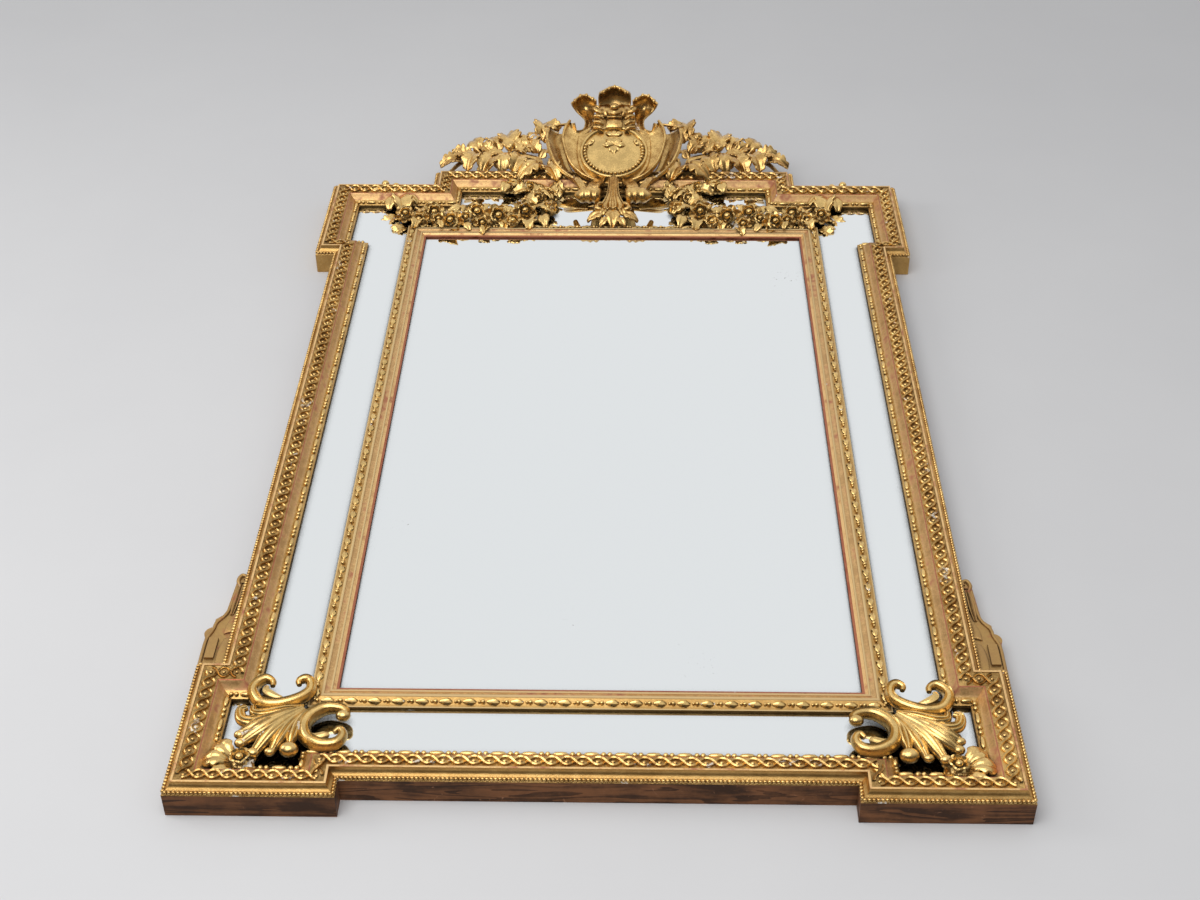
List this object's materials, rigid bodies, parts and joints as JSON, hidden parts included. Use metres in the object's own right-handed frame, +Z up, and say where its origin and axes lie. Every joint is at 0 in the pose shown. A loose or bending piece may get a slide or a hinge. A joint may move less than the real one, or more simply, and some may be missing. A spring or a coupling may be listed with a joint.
{
  "type": "wall mirror",
  "caption": "Tall wall mirror in an eared gilt frame, with mirror strips between an outer and an inner moulding, a carved crest with a medallion, oak branches and garlands.",
  "frame": {"origin": "on the wall plane at the back of the frame, midway between the axes of the two hanging rings", "axes": "+X to the right as seen from the front, +Y into the wall, +Z up; the mirror faces -Y"},
  "size_m": [0.9964, 0.1352, 1.5851],
  "materials": {
    "gilding": "aged gold leaf over red bole and gesso on carved wood",
    "carcase_wood": "dark stained softwood",
    "back_wood": "bare old pine",
    "mirror_glass": "silvered glass plate",
    "iron": "dull iron fittings"
  },
  "bodies": {
    "mirror": {"backboard_1": "back_wood", "backboard_2": "back_wood", "backboard_3": "back_wood", "batten_lower": "back_wood", "batten_nails": "iron", "batten_upper": "back_wood", "carcase_bottom_rail": "carcase_wood", "carcase_crown": "carcase_wood", "carcase_lower_ear_left": "carcase_wood", "carcase_lower_ear_right": "carcase_wood", "carcase_stile_left": "carcase_wood", "carcase_stile_right": "carcase_wood", "carcase_upper_ear_left": "carcase_wood", "carcase_upper_ear_right": "carcase_wood", "cleat_left": "back_wood", "cleat_right": "back_wood", "corner_acanthus_left": "gilding", "corner_acanthus_right": "gilding", "corner_rosette_left": "gilding", "corner_rosette_right": "gilding", "crest_apron": "gilding", "crest_cartouche": "gilding", "crest_clasp": "gilding", "crest_corbel": "carcase_wood", "crest_dowels": "carcase_wood", "crest_medallion": "gilding", "crest_roll_centre": "gilding", "garland_left": "gilding", "garland_right": "gilding", "hanger_strap_left": "iron", "hanger_strap_right": "iron", "inner_frame_screws": "iron", "inner_moulding_bottom": "gilding", "inner_moulding_left": "gilding", "inner_moulding_right": "gilding", "inner_moulding_top": "gilding", "mirror_bottom": "mirror_glass", "mirror_centre": "mirror_glass", "mirror_left": "mirror_glass", "mirror_right": "mirror_glass", "mirror_top": "mirror_glass", "moulding_bottom": "gilding", "moulding_crown": "gilding", "moulding_lower_ear_base_left": "gilding", "moulding_lower_ear_base_right": "gilding", "moulding_lower_ear_side_left": "gilding", "moulding_lower_ear_side_right": "gilding", "moulding_stile_left": "gilding", "moulding_stile_right": "gilding", "moulding_upper_ear_side_left": "gilding", "moulding_upper_ear_side_right": "gilding", "moulding_upper_ear_top_left": "gilding", "moulding_upper_ear_top_right": "gilding", "oak_branch_left": "gilding", "oak_branch_right": "gilding", "side_console_left": "gilding", "side_console_right": "gilding", "strap_screws": "iron"},
    "left_ring": {"hanger_ring_left": "iron"},
    "right_ring": {"hanger_ring_right": "iron"}
  },
  "joints": [
    {"name": "left_ring_swing", "type": "hinge", "parent": "mirror", "child": "left_ring", "pos_m": [-0.44, -0.0046, 0], "axis": [1, 0, 0], "range_deg": [0, 180]},
    {"name": "right_ring_swing", "type": "hinge", "parent": "mirror", "child": "right_ring", "pos_m": [0.44, -0.0046, 0], "axis": [1, 0, 0], "range_deg": [0, 180]}
  ]
}
